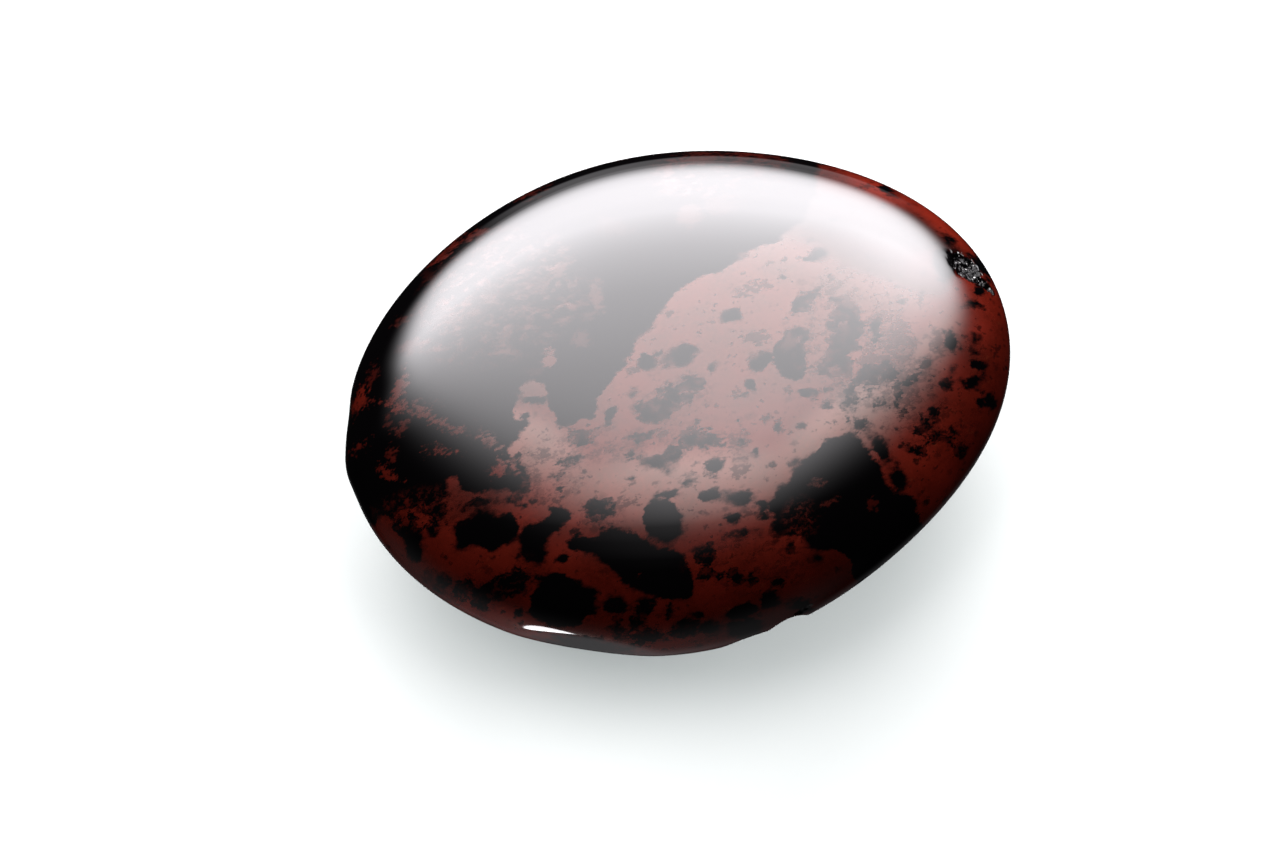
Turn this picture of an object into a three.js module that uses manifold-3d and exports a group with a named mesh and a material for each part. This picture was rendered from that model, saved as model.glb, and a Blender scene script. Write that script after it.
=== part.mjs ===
// A palm stone of mahogany obsidian: one pebble of volcanic glass, tumbled and polished,
// oval in plan, domed above and below, with a small flat spot underneath to rest on.
// Millimetres, +Z up, long axis along X, origin under the middle of the stone where it rests.

import * as THREE from 'three';
import { mergeVertices } from 'three/addons/utils/BufferGeometryUtils.js';
import Module from 'manifold-3d';

// Plan: an ellipse, and the slow waves round it that make it a natural oval.
// Each wave swells and hollows the rim count times, by shares of the ellipse's radius.
const HALF_LENGTH = 33.9;
const HALF_WIDTH = 27.45;
const PLAN_WAVES = [
  { count: 3, cosine: 0.0123, sine: 0.0007 },
  { count: 4, cosine: 0.0082, sine: -0.0065 },
];

// Side view: an upper and a lower dome that meet at the widest line, the girdle.
// The lower dome would end just under the resting plane, which cuts the flat spot.
const GIRDLE_HEIGHT = 9;
const CROWN_RISE = 10;
const BASE_DROP = 9.3;
const SHOULDER_FULLNESS = 0.09;

// A worn corner on one end of the rim, and the slight hollow beside it.
// They fade out between these shares of the radius, so that the domes stay smooth.
const RIM_SWELLS = [
  { turn: 172, spread: 3.5, height: 0.25 },
  { turn: 162, spread: 4, height: -0.22 },
];
const SWELL_INNER_SHARE = 0.75;
const SWELL_OUTER_SHARE = 1;

// One stretch of the rim is ground to a narrow flat with soft edges.
const RIM_FLAT = { turn: -122.6, dip: -8, distance: 27.34, softness: 0.12 };

// Chips that the polishing left open. Turn is the angle round the stone, tilt the angle
// down from the crown, or from the base where below is set, and skew turns the chip's length
// away from the rim's direction. Lengths, widths and depths are those of the opening, and
// grain is how rough the broken glass is: the two at the front are worn smooth.
const CHIPS = [
  { turn: -1.1, tilt: 66, skew: 46, length: 4.9, width: 3.8, depth: 0.5, grain: 0.16 },
  { turn: -4.7, tilt: 71.6, skew: 56, length: 3.9, width: 1.5, depth: 0.4, grain: 0.14 },
  { turn: -90.9, tilt: 79, skew: 0, length: 5, width: 8, depth: 0.98, grain: 0.02, below: true },
  { turn: -98, tilt: 79, skew: 0, length: 6.8, width: 8, depth: 0.42, grain: 0.01, below: true },
  { turn: -87.6, tilt: 86.5, skew: 8, length: 2, width: 0.7, depth: 0.2, grain: 0.08 },
  { turn: -73, tilt: 86, skew: 6, length: 1.7, width: 0.7, depth: 0.25, grain: 0.1, below: true },
];
const CHIP_BULGE = 2.4;
const CHIP_DETAIL = 5;
const CHIP_PROBE = 0.5;

// A plain generator of repeatable numbers.
const GENERATOR_FACTOR = 16807;
const GENERATOR_LIMIT = 2147483647;

// How finely the ball that the stone is shaped from is divided.
const BALL_DETAIL = 19;

// The block that cuts the flat spot, wider than the stone on every side.
const CUTTER_WIDTH = 90;
const CUTTER_DEPTH = 10;

const wasm = await Module();
wasm.setup();

// A repeatable series of numbers between -1 and 1, for the grain of broken glass.
function seededNumbers(seed) {
  let state = seed;
  return () => {
    state = (state * GENERATOR_FACTOR) % GENERATOR_LIMIT;
    return (state / GENERATOR_LIMIT) * 2 - 1;
  };
}

function radians(degrees) {
  return THREE.MathUtils.degToRad(degrees);
}

// Radius of the plan outline at a turn, in radians.
function planRadius(turn) {
  const ellipse =
    (HALF_LENGTH * HALF_WIDTH) /
    Math.hypot(HALF_WIDTH * Math.cos(turn), HALF_LENGTH * Math.sin(turn));
  let factor = 1;
  for (const wave of PLAN_WAVES) {
    factor += wave.cosine * Math.cos(wave.count * turn);
    factor += wave.sine * Math.sin(wave.count * turn);
  }
  return ellipse * factor;
}

// How far the worn corner and its hollow move the rim at a turn and a share of the radius.
function swellHeight(turn, share) {
  const fade = THREE.MathUtils.smoothstep(share, SWELL_INNER_SHARE, SWELL_OUTER_SHARE);
  let height = 0;
  for (const swell of RIM_SWELLS) {
    const away = THREE.MathUtils.euclideanModulo(turn - radians(swell.turn) + Math.PI, 2 * Math.PI);
    height += swell.height * Math.exp(-(((away - Math.PI) / radians(swell.spread)) ** 2));
  }
  return height * fade;
}

// Pushes a point that is outside the ground flat back onto it, with a soft edge.
function grindRimFlat(point) {
  const turn = radians(RIM_FLAT.turn);
  const dip = radians(RIM_FLAT.dip);
  const outward = new THREE.Vector3(
    Math.cos(turn) * Math.cos(dip),
    Math.sin(turn) * Math.cos(dip),
    Math.sin(dip),
  );
  const beyond = (point.dot(outward) - RIM_FLAT.distance) / RIM_FLAT.softness;
  const ground = RIM_FLAT.softness * Math.log1p(Math.exp(beyond));
  return point.addScaledVector(outward, -ground);
}

// The stone's surface at a turn round it and a tilt from its upper or lower pole, in radians.
function surfacePoint(turn, tilt, below) {
  const share = Math.sin(tilt);
  const radius = share * planRadius(turn) + swellHeight(turn, share);
  const dome = Math.cos(tilt) * (1 + SHOULDER_FULLNESS * share * share);
  const height = below ? GIRDLE_HEIGHT - BASE_DROP * dome : GIRDLE_HEIGHT + CROWN_RISE * dome;
  return grindRimFlat(
    new THREE.Vector3(radius * Math.cos(turn), radius * Math.sin(turn), height),
  );
}

// A ball whose points are moved out to the stone's surface.
function pebbleGeometry() {
  const ball = weld(new THREE.IcosahedronGeometry(1, BALL_DETAIL));
  const positions = ball.getAttribute('position');
  const direction = new THREE.Vector3();
  for (let i = 0; i < positions.count; i += 1) {
    direction.fromBufferAttribute(positions, i).normalize();
    const turn = Math.atan2(direction.y, direction.x);
    const tilt = Math.acos(Math.min(1, Math.abs(direction.z)));
    const point = surfacePoint(turn, tilt, direction.z < 0);
    positions.setXYZ(i, point.x, point.y, point.z);
  }
  return ball;
}

// A lump of the size and place of one chip, with a grained surface, to be cut out of the stone.
function chipGeometry(chip, seed) {
  const turn = radians(chip.turn);
  const tilt = radians(chip.tilt);
  const step = radians(CHIP_PROBE);
  const centre = surfacePoint(turn, tilt, chip.below);
  const alongRim = surfacePoint(turn + step, tilt, chip.below).sub(centre).normalize();
  const towardsPole = surfacePoint(turn, tilt - step, chip.below).sub(centre).normalize();
  const outward = new THREE.Vector3().crossVectors(alongRim, towardsPole).normalize();
  if (chip.below) outward.negate();
  const length = alongRim.clone().applyAxisAngle(outward, radians(chip.skew));
  const width = new THREE.Vector3().crossVectors(outward, length);

  // The opening is the lump's section at the surface, above which its centre stands.
  const lift = CHIP_BULGE - chip.depth;
  const section = Math.sqrt(1 - (lift / CHIP_BULGE) ** 2);
  const lump = weld(new THREE.IcosahedronGeometry(1, CHIP_DETAIL));
  const positions = lump.getAttribute('position');
  const next = seededNumbers(seed);
  const point = new THREE.Vector3();
  for (let i = 0; i < positions.count; i += 1) {
    point.fromBufferAttribute(positions, i);
    const along = (point.x * chip.length) / 2 / section;
    const across = (point.y * chip.width) / 2 / section;
    const out = point.z * (CHIP_BULGE + chip.grain * next()) + lift;
    point.copy(centre).addScaledVector(length, along).addScaledVector(width, across);
    point.addScaledVector(outward, out);
    positions.setXYZ(i, point.x, point.y, point.z);
  }
  return lump;
}

// Joins the shared corners of a geometry, so that it is one closed mesh.
function weld(geometry) {
  geometry.deleteAttribute('normal');
  geometry.deleteAttribute('uv');
  return mergeVertices(geometry);
}

function toSolid(geometry) {
  return new wasm.Manifold(
    new wasm.Mesh({
      numProp: 3,
      vertProperties: new Float32Array(geometry.getAttribute('position').array),
      triVerts: new Uint32Array(geometry.index.array),
    }),
  );
}

function toGeometry(solid) {
  const mesh = solid.getMesh();
  const geometry = new THREE.BufferGeometry();
  geometry.setAttribute('position', new THREE.BufferAttribute(mesh.vertProperties, 3));
  geometry.setIndex(new THREE.BufferAttribute(mesh.triVerts, 1));
  return geometry;
}

// The pebble with its chips and its flat spot cut, centred over the origin.
function stoneGeometry() {
  let solid = toSolid(pebbleGeometry());
  CHIPS.forEach((chip, index) => {
    solid = solid.subtract(toSolid(chipGeometry(chip, index + 1)));
  });
  const cutter = new THREE.BoxGeometry(CUTTER_WIDTH, CUTTER_WIDTH, CUTTER_DEPTH);
  cutter.translate(0, 0, -CUTTER_DEPTH / 2);
  solid = solid.subtract(toSolid(weld(cutter)));

  const geometry = toGeometry(solid);
  geometry.computeBoundingBox();
  const middle = geometry.boundingBox.getCenter(new THREE.Vector3());
  geometry.translate(-middle.x, -middle.y, 0);
  geometry.computeVertexNormals();
  return geometry;
}

const mahoganyObsidian = new THREE.MeshStandardMaterial({
  color: '#4a120a',
  roughness: 0.06,
  metalness: 0,
});

const palmStone = new THREE.Group();
const stone = new THREE.Mesh(stoneGeometry(), mahoganyObsidian);
stone.name = 'palm_stone';
palmStone.add(stone);

export default palmStone;
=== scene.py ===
from collections import namedtuple
import math
import bmesh
import bpy
import numpy as np
from mathutils import Matrix, Vector, noise


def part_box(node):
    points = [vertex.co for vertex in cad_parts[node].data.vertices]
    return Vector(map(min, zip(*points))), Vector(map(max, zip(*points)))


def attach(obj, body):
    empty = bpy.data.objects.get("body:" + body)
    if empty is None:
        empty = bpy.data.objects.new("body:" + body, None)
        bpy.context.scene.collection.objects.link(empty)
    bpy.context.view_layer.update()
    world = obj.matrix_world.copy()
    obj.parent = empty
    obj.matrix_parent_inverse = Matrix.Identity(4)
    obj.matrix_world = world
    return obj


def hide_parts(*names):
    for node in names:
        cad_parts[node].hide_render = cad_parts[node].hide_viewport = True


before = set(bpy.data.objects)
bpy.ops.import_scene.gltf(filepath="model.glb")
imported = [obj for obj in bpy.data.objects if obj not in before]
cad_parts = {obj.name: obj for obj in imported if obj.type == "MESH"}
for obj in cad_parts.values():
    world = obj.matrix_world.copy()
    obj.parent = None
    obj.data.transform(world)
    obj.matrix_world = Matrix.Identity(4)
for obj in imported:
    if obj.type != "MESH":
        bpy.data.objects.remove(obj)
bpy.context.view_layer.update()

# A palm stone of mahogany obsidian, in metres. The form below is worked out in millimetres and
# brought to the size and place of the CAD solid.
MM = 0.001
STONE = "palm_stone"
SLOT = "mahogany_obsidian"

# The photograph's frame and the view in it. The view's target, inside the stone, shows in the
# photograph at TARGET_PIXEL.
FRAME_WIDTH = 1280
FRAME_HEIGHT = 853
TARGET_PIXEL = (676.0, 401.2)
PIXELS_PER_MM = 10.0
VIEW_TARGET_MM = Vector((-0.95, -0.88, 9.0))
VIEW_AZIMUTH = -23.4
VIEW_ELEVATION = 60.0
VIEW_DISTANCE_MM = 330.0
SENSOR_MM = 36.0
NEAREST_SEEN = 0.01
FARTHEST_SEEN = 20.0

# Plan of the stone: an ellipse and the slow waves round it (count, cosine, sine).
HALF_LENGTH = 33.9
HALF_WIDTH = 27.45
PLAN_WAVES = ((3, 0.0123, 0.0007), (4, 0.0082, -0.0065))

# Side view: an upper and a lower dome that meet at the girdle.
GIRDLE_HEIGHT = 9.0
CROWN_RISE = 10.0
BASE_DROP = 9.3
SHOULDER_FULLNESS = 0.09

# The worn corner of the rim and the hollow beside it (turn, spread, height).
RIM_SWELLS = ((172, 3.5, 0.25), (162, 4.0, -0.22))
SWELL_INNER_SHARE = 0.75

# The narrow flat ground on the rim.
FLAT_TURN = -122.6
FLAT_DIP = -8.0
FLAT_DISTANCE = 27.34
FLAT_SOFTNESS = 0.12

# Chips left open by the polishing. Turn is the angle round the stone, tilt the angle from the
# upper pole, or from the lower one where below is set, and skew turns the length away from the
# rim's direction. Lengths, widths and depths are those of the opening. Grain is how rough the
# broken glass is, and the chips without it are worn smooth.
Chip = namedtuple("Chip", "turn tilt skew length width depth grain below")
CHIPS = (
    Chip(-1.1, 66, 46, 4.9, 3.8, 0.5, 0.16, False),
    Chip(-4.7, 71.6, 56, 3.9, 1.5, 0.4, 0.14, False),
    Chip(-90.9, 79, 0, 5, 8, 0.98, 0, True),
    Chip(-98, 79, 0, 6.8, 8, 0.42, 0, True),
    Chip(-87.6, 86.5, 8, 2, 0.7, 0.2, 0.08, False),
    Chip(-73, 86, 6, 1.7, 0.7, 0.25, 0.1, True),
)
# A chip is what a lump with this bulge takes away, and its edges are this soft. The probe is the
# angle to the near points that give the surface's directions there, and the last value stands for
# the cut where there is no lump.
CHIP_BULGE = 2.4
CHIP_SOFTNESS = 0.08
CHIP_PROBE = 0.5
WELL_OUTSIDE = -9.0

# Broken glass: facets of two sizes, in cells to a millimetre, and waves of its edge, to a
# millimetre, the second of each with FINE_SHARE of the first's height. The waves are EDGE_HEIGHT
# as high as the grain and start GRAIN_REACH outside the lump, and the facets grow over FACET_RAMP
# inside it. Each chip reads its grain CHIP_SHIFT away from the one before.
FACET_CELLS = (2.6, 5.5)
EDGE_WAVES = (1.3, 4.0)
EDGE_HEIGHT = 1.2
FINE_SHARE = 0.5
FACET_RAMP = 0.15
GRAIN_REACH = 0.6
CHIP_SHIFT = 20.0
# The glass looks broken from a little outside the edge on. From this grain on it is all dull.
BROKEN_RAMP = 0.12
BROKEN_START = 0.3
FULL_GRAIN = 0.14

# Mesh: how many squares each side of the ball has, what share of them goes to the upper dome,
# and how far outside the lump of a chip they are still halved, once per entry. Corners of two
# sides are joined where they agree to so many digits.
GRID = 116
UPPER_SHARE = 0.6
CHIP_REFINEMENTS = (0.25, 0.12)
MERGE_DIGITS = 7


def radians(degrees):
    return degrees * math.pi / 180


def new_object(name, data):
    made = bpy.data.objects.new(name, data)
    bpy.context.scene.collection.objects.link(made)
    return made


def smooth(x):
    x = np.clip(x, 0, 1)
    return x * x * (3 - 2 * x)


# The stone's form

def plan_radius(turn):
    """Radius of the outline in plan at a turn, in millimetres."""
    across = np.hypot(HALF_WIDTH * np.cos(turn), HALF_LENGTH * np.sin(turn))
    factor = 1.0
    for count, cosine, sine in PLAN_WAVES:
        factor = factor + cosine * np.cos(count * turn) + sine * np.sin(count * turn)
    return HALF_LENGTH * HALF_WIDTH / across * factor


def swell_height(turn, share):
    """How far the worn corner and its hollow move the rim."""
    height = 0.0
    for centre, spread, rise in RIM_SWELLS:
        away = (turn - radians(centre) + math.pi) % (2 * math.pi) - math.pi
        height = height + rise * np.exp(-((away / radians(spread)) ** 2))
    return height * smooth((share - SWELL_INNER_SHARE) / (1 - SWELL_INNER_SHARE))


def grind_flat(points):
    """Pushes what is outside the ground flat back onto it, with a soft edge."""
    turn, dip = radians(FLAT_TURN), radians(FLAT_DIP)
    level = math.cos(dip)
    outward = np.array((math.cos(turn) * level, math.sin(turn) * level, math.sin(dip)))
    beyond = (points @ outward - FLAT_DISTANCE) / FLAT_SOFTNESS
    ground = FLAT_SOFTNESS * np.logaddexp(0, beyond)
    return points - ground[..., None] * outward


def surface(turn, tilt, below):
    """Points of the polished surface at turns round the stone and tilts from its poles."""
    share = np.sin(tilt)
    radius = share * plan_radius(turn) + swell_height(turn, share)
    dome = np.cos(tilt) * (1 + SHOULDER_FULLNESS * share * share)
    height = GIRDLE_HEIGHT + np.where(below, -BASE_DROP, CROWN_RISE) * dome
    points = np.stack((radius * np.cos(turn), radius * np.sin(turn), height), -1)
    return grind_flat(points)


def surface_of_directions(directions):
    """The surface point that each direction of the dividing ball is moved to."""
    x, y, z = directions.T
    turn = np.arctan2(y, x)
    polar = np.arccos(np.clip(z, -1, 1))
    girdle = UPPER_SHARE * math.pi
    below = polar > girdle
    tilt = np.where(below, (math.pi - polar) / (math.pi - girdle), polar / girdle) * math.pi / 2
    points = surface(turn, tilt, below)
    points[:, 2] = np.maximum(points[:, 2], 0)
    return points


def unit(vector):
    return vector / np.linalg.norm(vector)


def chip_frame(chip):
    """Centre of a chip on the surface, its length and width directions and the outward one."""
    turn, tilt, step = radians(chip.turn), radians(chip.tilt), radians(CHIP_PROBE)
    centre = surface(np.array(turn), np.array(tilt), chip.below)
    along = unit(surface(np.array(turn + step), np.array(tilt), chip.below) - centre)
    up = unit(surface(np.array(turn), np.array(tilt - step), chip.below) - centre)
    outward = unit(np.cross(along, up)) * (-1 if chip.below else 1)
    skew = radians(chip.skew)
    length = along * math.cos(skew) + np.cross(outward, along) * math.sin(skew)
    return centre, length, np.cross(outward, length), outward


def chip_cut(points, chip):
    """How much of the surface at points the lump of a chip takes away, negative outside it."""
    centre, length, width, outward = chip_frame(chip)
    away = points - centre
    lift = CHIP_BULGE - chip.depth
    section = math.sqrt(1 - (lift / CHIP_BULGE) ** 2)
    along = away @ length / (chip.length / 2 / section)
    across = away @ width / (chip.width / 2 / section)
    inside = 1 - along ** 2 - across ** 2
    cut = away @ outward - lift + CHIP_BULGE * np.sqrt(np.clip(inside, 0, 1))
    return np.where(inside > 0, cut, WELL_OUTSIDE)


def chip_grain(place, cut):
    """Height of the broken glass where the lump cuts so deep, as a share of the grain."""
    coarse, fine = FACET_CELLS
    facet = noise.cell_vector(place * coarse).x + FINE_SHARE * noise.cell_vector(place * fine).y
    facet -= (1 + FINE_SHARE) / 2
    coarse, fine = EDGE_WAVES
    edge = noise.noise(place * coarse) + FINE_SHARE * noise.noise(place * fine)
    return EDGE_HEIGHT * edge + facet * min(max(cut / FACET_RAMP, 0), 1)


# The mesh

def ball_mesh():
    """A ball divided like a cube, with its poles in the middle of two even faces."""
    steps = np.tan(np.linspace(-math.pi / 4, math.pi / 4, GRID + 1))
    a, b = np.meshgrid(steps, steps, indexing="ij")
    one = np.ones_like(a)
    sides = [(a, b, one), (b, a, -one), (one, a, b), (-one, b, a), (b, one, a), (a, -one, b)]
    corners = np.concatenate([np.stack(side, -1).reshape(-1, 3) for side in sides])
    corners /= np.linalg.norm(corners, axis=1)[:, None]
    _, first, merged = np.unique(
        corners.round(MERGE_DIGITS), axis=0, return_index=True, return_inverse=True,
    )
    merged = merged.reshape(len(sides), GRID + 1, GRID + 1)
    near, far = slice(None, -1), slice(1, None)
    rounds = ((near, near), (far, near), (far, far), (near, far))
    quads = np.stack([merged[:, row, column] for row, column in rounds], -1)
    mesh = bpy.data.meshes.new(STONE)
    mesh.from_pydata(corners[first].tolist(), [], quads.reshape(-1, 4).tolist())
    return mesh


def read_points(mesh):
    flat = np.empty(len(mesh.vertices) * 3)
    mesh.vertices.foreach_get("co", flat)
    return flat.reshape(-1, 3)


def write_points(mesh, points):
    mesh.vertices.foreach_set("co", points.reshape(-1))
    mesh.update()


def refine_chips(mesh):
    """Halves the squares in and round the chips."""
    for reach in CHIP_REFINEMENTS:
        points = surface_of_directions(read_points(mesh))
        near = np.zeros(len(points), bool)
        for chip in CHIPS:
            near |= chip_cut(points, chip) > -reach
        bm = bmesh.new()
        bm.from_mesh(mesh)
        bm.verts.ensure_lookup_table()
        edges = [e for e in bm.edges if near[e.verts[0].index] or near[e.verts[1].index]]
        bmesh.ops.subdivide_edges(bm, edges=edges, cuts=1, use_grid_fill=True)
        for vert in bm.verts:
            vert.co.normalize()
        bm.to_mesh(mesh)
        bm.free()


def carve_chips(points):
    """Sinks the chips into the polished surface. Returns the points and how broken each one is."""
    broken = np.zeros(len(points))
    carved = points.copy()
    for number, chip in enumerate(CHIPS):
        shift = Vector((CHIP_SHIFT * number, 0, 0))
        cut = chip_cut(carved, chip)
        for i in np.nonzero(cut > -GRAIN_REACH)[0]:
            cut[i] += chip.grain * chip_grain(Vector(points[i]) + shift, cut[i])
        outward = chip_frame(chip)[3]
        carved -= outward * (CHIP_SOFTNESS * np.logaddexp(0, cut / CHIP_SOFTNESS))[:, None]
        if chip.grain:
            dull = smooth(cut / BROKEN_RAMP + BROKEN_START) * min(chip.grain / FULL_GRAIN, 1)
            broken = np.maximum(broken, dull)
    return carved, broken


def fit_to_box(points, low, high):
    """Moves and scales the points in metres so that they fill the CAD solid's box exactly."""
    own_low, own_high = points.min(0), points.max(0)
    share = (points - own_low) / (own_high - own_low)
    return np.array(low) + share * (np.array(high) - np.array(low))


# The view

def view_axes():
    """Directions from the target to the camera, to its right and up, before it is aimed."""
    azimuth, elevation = radians(VIEW_AZIMUTH), radians(VIEW_ELEVATION)
    back = Vector((
        math.sin(azimuth) * math.cos(elevation),
        -math.cos(azimuth) * math.cos(elevation),
        math.sin(elevation),
    ))
    right = Vector((math.cos(azimuth), math.sin(azimuth), 0))
    return back, right, back.cross(right)


def make_camera():
    back, right, up = view_axes()
    target = VIEW_TARGET_MM * MM
    eye = target + back * VIEW_DISTANCE_MM * MM
    # Aims a little left of and below the target, so that it shows where the photograph has it.
    left = (TARGET_PIXEL[0] - FRAME_WIDTH / 2) / PIXELS_PER_MM * MM
    down = (FRAME_HEIGHT / 2 - TARGET_PIXEL[1]) / PIXELS_PER_MM * MM
    aim = (eye - (target - right * left - up * down)).normalized()
    across = (right - aim * right.dot(aim)).normalized()
    data = bpy.data.cameras.new("camera")
    data.sensor_width = SENSOR_MM
    data.lens = SENSOR_MM * VIEW_DISTANCE_MM * PIXELS_PER_MM / FRAME_WIDTH
    data.clip_start = NEAREST_SEEN
    data.clip_end = FARTHEST_SEEN
    camera = new_object("camera", data)
    camera.matrix_world = Matrix((across, aim.cross(across), aim)).transposed().to_4x4()
    camera.location = eye
    bpy.context.scene.camera = camera


def photo_pixels(points):
    """Where points in millimetres show in the photograph."""
    back, right, up = (np.array(axis) for axis in view_axes())
    eye = np.array(VIEW_TARGET_MM) + back * VIEW_DISTANCE_MM
    away = points - eye
    scale = VIEW_DISTANCE_MM * PIXELS_PER_MM / -(away @ back)
    x = TARGET_PIXEL[0] + scale * (away @ right)
    y = TARGET_PIXEL[1] - scale * (away @ up)
    return np.stack((x, y), -1)


# The pattern, in photograph pixels: the black glass that shows in the red-brown.
# Large black areas are outlines.
UPPER_LEFT_BLACK = (
    (840, 120), (822, 165), (803, 222), (780, 240), (755, 250), (738, 260), (720, 274), (696, 279),
    (677, 295), (662, 312), (653, 328), (634, 348), (621, 368), (607, 384), (598, 400), (592, 420),
    (575, 426), (562, 430), (554, 424), (556, 414), (550, 405), (546, 388), (533, 377), (521, 386),
    (514, 405), (516, 420), (530, 425), (512, 438), (512, 450), (526, 462), (531, 478), (528, 491),
    (500, 492), (478, 495), (459, 495), (460, 478), (447, 482), (446, 498), (428, 507), (415, 512),
    (395, 515), (378, 521), (366, 531), (320, 540), (300, 400), (400, 180), (600, 90),
)
RIGHT_BLACK = (
    (850, 431), (830, 435), (817, 446), (803, 458), (795, 464), (788, 479), (775, 491), (770, 501),
    (773, 514), (770, 528), (773, 540), (786, 533), (800, 535), (806, 544), (817, 551), (831, 549),
    (845, 556), (851, 572), (860, 590), (900, 570), (940, 530), (918, 520), (915, 504), (907, 490),
    (894, 492), (886, 480), (880, 467), (870, 451), (861, 436),
)
LONG_BLACK = (
    (565, 541), (580, 533), (605, 530), (637, 533), (657, 546), (682, 553), (691, 570), (698, 584),
    (693, 597), (668, 600), (643, 597), (620, 581), (604, 565), (588, 556), (571, 550),
)
LOWER_BLACK = (
    (546, 574), (566, 572), (583, 581), (600, 590), (601, 606), (592, 619), (576, 628), (558, 631),
    (544, 625), (531, 614), (529, 600), (537, 585),
)
LEFT_BLOCK = (
    (451, 534), (457, 519), (475, 513), (495, 510), (511, 513), (518, 525), (518, 540), (508, 548),
    (480, 550), (457, 549),
)
SLANTED_BLOCK = (
    (549, 506), (567, 506), (572, 515), (566, 526), (557, 534), (551, 541), (547, 553), (540, 563),
    (529, 563), (520, 553), (519, 540), (525, 529), (536, 521), (546, 516),
)
LEFT_BAND = (
    (496, 571), (510, 567), (525, 568), (545, 577), (538, 583), (525, 585), (520, 593), (505, 597),
    (494, 599), (487, 608), (474, 608), (469, 599), (454, 599), (457, 590), (468, 582), (480, 585),
    (487, 580),
)
MOTTLED_BLOCK = (
    (833, 299), (850, 296), (863, 308), (867, 325), (861, 345), (851, 352), (848, 373), (835, 381),
    (820, 377), (814, 360), (822, 345), (832, 338), (834, 320),
)
BLACK_OUTLINES = (
    UPPER_LEFT_BLACK, RIGHT_BLACK, LONG_BLACK, LOWER_BLACK, LEFT_BLOCK, SLANTED_BLOCK,
    LEFT_BAND, MOTTLED_BLOCK,
)

# Smaller black patches: x, y, half length, half width, and the slope in degrees of those that
# don't lie level.
BLACK_PATCHES = (
    (600, 512, 15, 15), (664, 521, 20, 22), (411, 538, 11, 23, 15), (615, 605, 14, 12),
    (641, 612, 19, 13, 15), (622, 626, 20, 10, 20), (646, 634, 18, 8), (686, 628, 14, 12),
    (709, 629, 12, 6), (697, 616, 6, 4), (742, 612, 14, 8, 15), (745, 628, 18, 9, 8),
    (771, 600, 12, 10), (754, 580, 7, 7), (776, 583, 7, 5), (728, 577, 9, 9), (704, 555, 10, 10),
    (708, 573, 9, 11), (801, 606, 12, 7, 5), (788, 543, 6, 5), (817, 557, 6, 5), (744, 534, 15, 6),
    (732, 519, 10, 5), (765, 516, 9, 5), (762, 503, 9, 5), (561, 558, 6, 5), (520, 611, 5, 8),
    (440, 513, 9, 7), (436, 525, 6, 6), (430, 533, 6, 5), (442, 585, 8, 10, 20),
    (508, 500, 14, 4, 5), (523, 507, 7, 4), (475, 506, 14, 4, 10), (556, 486, 6, 7),
    (524, 417, 8, 6), (536, 399, 13, 4), (522, 455, 10, 6), (790, 357, 17, 22), (801, 340, 8, 9),
    (875, 375, 24, 12, 8), (851, 395, 5, 14), (808, 298, 26, 7, 48), (816, 290, 8, 9),
    (817, 256, 12, 6, 10), (876, 334, 7, 11), (730, 317, 11, 7, 18), (757, 362, 14, 7, 35),
    (750, 384, 7, 6), (714, 367, 5, 5), (681, 356, 18, 10, 20), (697, 381, 13, 9, -18),
    (646, 362, 10, 9, 20), (676, 396, 17, 7, -5), (688, 399, 9, 8, 20), (655, 411, 20, 11),
    (610, 418, 5, 9), (640, 438, 14, 7), (632, 454, 11, 7), (657, 463, 15, 8),
    (671, 453, 10, 9, 20), (700, 438, 18, 11, 5), (681, 446, 9, 6), (715, 464, 11, 10, 10),
    (735, 499, 19, 8, 3), (707, 494, 10, 5), (672, 495, 12, 4, 12), (582, 437, 13, 6, 15),
    (575, 456, 15, 5, 20), (806, 394, 9, 5), (862, 425, 8, 4), (880, 449, 6, 18, 28),
    (897, 479, 9, 15, 20), (926, 427, 9, 9), (940, 414, 7, 7), (938, 440, 15, 6), (953, 434, 5, 4),
    (923, 452, 6, 6), (909, 449, 5, 5), (960, 450, 7, 8), (898, 426, 5, 5), (976, 366, 7, 6),
    (973, 382, 10, 7), (950, 341, 8, 12), (977, 292, 5, 7, 10), (972, 306, 8, 4), (946, 384, 7, 6),
    (950, 245, 10, 4, -45), (984, 269, 20, 6, -50), (944, 263, 11, 19), (887, 190, 9, 5, -20),
    (991, 402, 6, 6), (980, 402, 6, 4), (640, 330, 6, 7), (669, 608, 5, 8), (662, 585, 4, 3),
    (588, 646, 50, 8, -5), (777, 429, 3, 5), (754, 451, 4, 3), (688, 412, 4, 3),
    (733, 331, 6, 2, 10), (787, 389, 3, 2), (826, 407, 4, 3), (666, 380, 3, 2), (656, 380, 3, 2),
    (634, 393, 5, 4, 20), (628, 374, 3, 4), (743, 395, 4, 3), (688, 483, 4, 5), (633, 480, 5, 3),
    (668, 470, 5, 3), (794, 461, 6, 3, 40), (862, 320, 3, 3), (960, 349, 4, 3), (934, 350, 4, 2),
    (953, 369, 3, 4, -40), (974, 352, 4, 2), (930, 384, 2, 2), (912, 379, 3, 3), (700, 421, 3, 2),
    (738, 421, 3, 3), (716, 477, 7, 3, 10), (877, 399, 9, 5, 10), (896, 389, 4, 8),
    (892, 406, 6, 5, 20), (850, 403, 5, 3), (914, 376, 4, 5), (924, 363, 5, 8, -20),
    (976, 339, 5, 4), (903, 414, 3, 3), (868, 388, 4, 3),
)

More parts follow.
